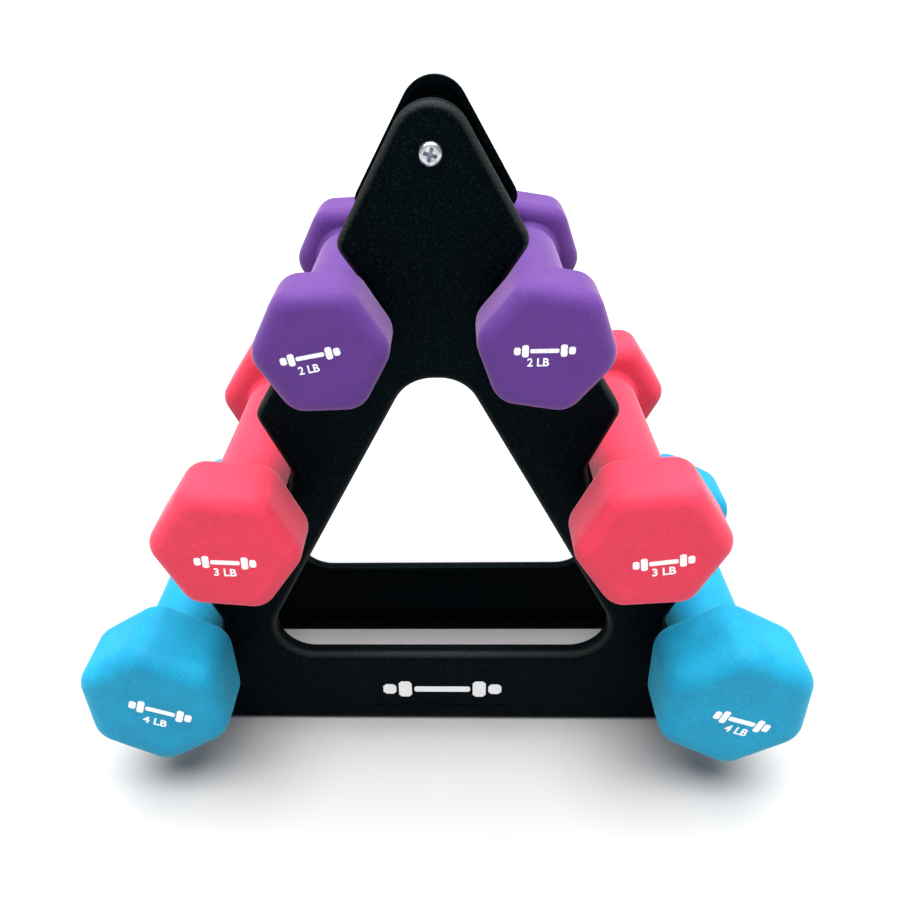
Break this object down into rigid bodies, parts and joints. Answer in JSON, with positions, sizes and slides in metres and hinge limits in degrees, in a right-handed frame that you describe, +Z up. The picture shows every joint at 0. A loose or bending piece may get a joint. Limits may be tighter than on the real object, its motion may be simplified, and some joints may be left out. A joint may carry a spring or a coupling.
{
  "type": "dumbbell rack",
  "caption": "A-frame rack: two stepped black side panels joined by round crossbars, holding pairs of coated hexagonal dumbbells in open cradles down both sides.",
  "frame": {"origin": "on the floor, midway between the two panels and midway between the two rows of dumbbells", "axes": "+Z up, +X to the right of someone facing the rack, +Y away from them"},
  "size_m": [0.3328, 0.18, 0.3034],
  "materials": {
    "black_plastic": "fine leather grain",
    "zinc": "bright zinc plate",
    "cast_iron": "as cast",
    "upper_coat": "matt, fine speckle",
    "middle_coat": "matt, fine speckle",
    "lower_coat": "matt, fine speckle"
  },
  "bodies": {
    "rack": {"front_panel": "black_plastic", "rear_panel": "black_plastic", "top_crossbar": "black_plastic", "top_front_screw": "zinc", "top_rear_screw": "zinc", "left_crossbar": "black_plastic", "left_front_screw": "zinc", "left_rear_screw": "zinc", "right_crossbar": "black_plastic", "right_front_screw": "zinc", "right_rear_screw": "zinc"},
    "upper_left_dumbbell": {"upper_left_core": "cast_iron", "upper_left_coat": "upper_coat"},
    "upper_right_dumbbell": {"upper_right_core": "cast_iron", "upper_right_coat": "upper_coat"},
    "middle_left_dumbbell": {"middle_left_core": "cast_iron", "middle_left_coat": "middle_coat"},
    "middle_right_dumbbell": {"middle_right_core": "cast_iron", "middle_right_coat": "middle_coat"},
    "lower_left_dumbbell": {"lower_left_core": "cast_iron", "lower_left_coat": "lower_coat"},
    "lower_right_dumbbell": {"lower_right_core": "cast_iron", "lower_right_coat": "lower_coat"}
  },
  "joints": [
    {"name": "upper_left_lift", "type": "slide", "parent": "rack", "child": "upper_left_dumbbell", "axis": [-0.7071, 0, 0.7071], "range_m": [0, 0.15]},
    {"name": "upper_right_lift", "type": "slide", "parent": "rack", "child": "upper_right_dumbbell", "axis": [0.7071, 0, 0.7071], "range_m": [0, 0.15]},
    {"name": "middle_left_lift", "type": "slide", "parent": "rack", "child": "middle_left_dumbbell", "axis": [-0.7071, 0, 0.7071], "range_m": [0, 0.15]},
    {"name": "middle_right_lift", "type": "slide", "parent": "rack", "child": "middle_right_dumbbell", "axis": [0.7071, 0, 0.7071], "range_m": [0, 0.15]},
    {"name": "lower_left_lift", "type": "slide", "parent": "rack", "child": "lower_left_dumbbell", "axis": [-0.7071, 0, 0.7071], "range_m": [0, 0.15]},
    {"name": "lower_right_lift", "type": "slide", "parent": "rack", "child": "lower_right_dumbbell", "axis": [0.7071, 0, 0.7071], "range_m": [0, 0.15]}
  ]
}
